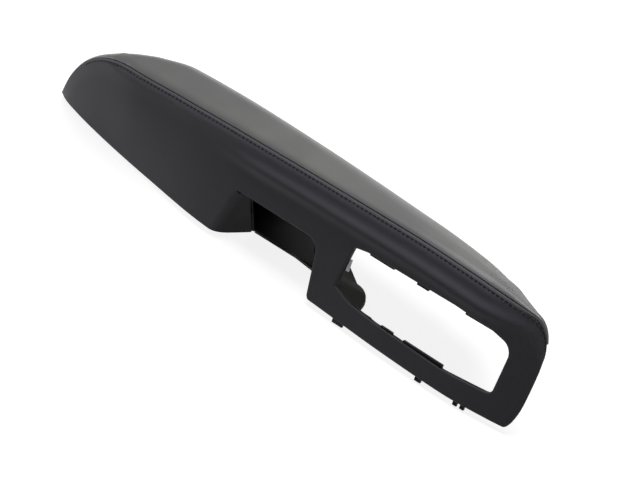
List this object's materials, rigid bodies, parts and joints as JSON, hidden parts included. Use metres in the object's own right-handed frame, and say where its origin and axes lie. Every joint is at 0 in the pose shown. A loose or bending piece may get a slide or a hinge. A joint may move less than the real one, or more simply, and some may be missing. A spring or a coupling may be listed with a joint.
{
  "type": "door armrest",
  "caption": "Car door armrest: a leather-covered shell with a padded elbow strip, a pull gap with a finger cup and a notched opening for a switch panel",
  "frame": {"origin": "Middle of the length and width, on the plane that the door-side mounting faces share", "axes": "+X runs along the armrest to the end with the switch opening, -Y faces the broad dark leather face, +Z points away from the door"},
  "size_m": [0.592, 0.1093, 0.0984],
  "materials": {
    "dark_leather": "satin, fine grain",
    "light_leather": "satin, fine grain",
    "black_plastic": "fine texture",
    "grey_foam": "open foam",
    "bracket_steel": "zinc plated",
    "spring_steel": "bright",
    "insert_brass": "turned",
    "felt": "matt"
  },
  "bodies": {
    "root": {"carrier": "black_plastic", "face_cover": "dark_leather", "side_cover": "light_leather", "elbow_pad": "grey_foam", "pull_cup": "black_plastic", "grip_bracket": "bracket_steel", "grip_screw_1": "bracket_steel", "grip_screw_2": "bracket_steel", "grip_screw_3": "bracket_steel", "tower_insert_1": "insert_brass", "tower_insert_2": "insert_brass", "switch_clip_rear": "spring_steel", "switch_clip_front": "spring_steel", "edge_clip_1": "spring_steel", "edge_clip_2": "spring_steel", "edge_clip_3": "spring_steel", "edge_clip_4": "spring_steel", "felt_strip_1": "felt", "felt_strip_2": "felt", "felt_strip_3": "felt"}
  },
  "joints": []
}
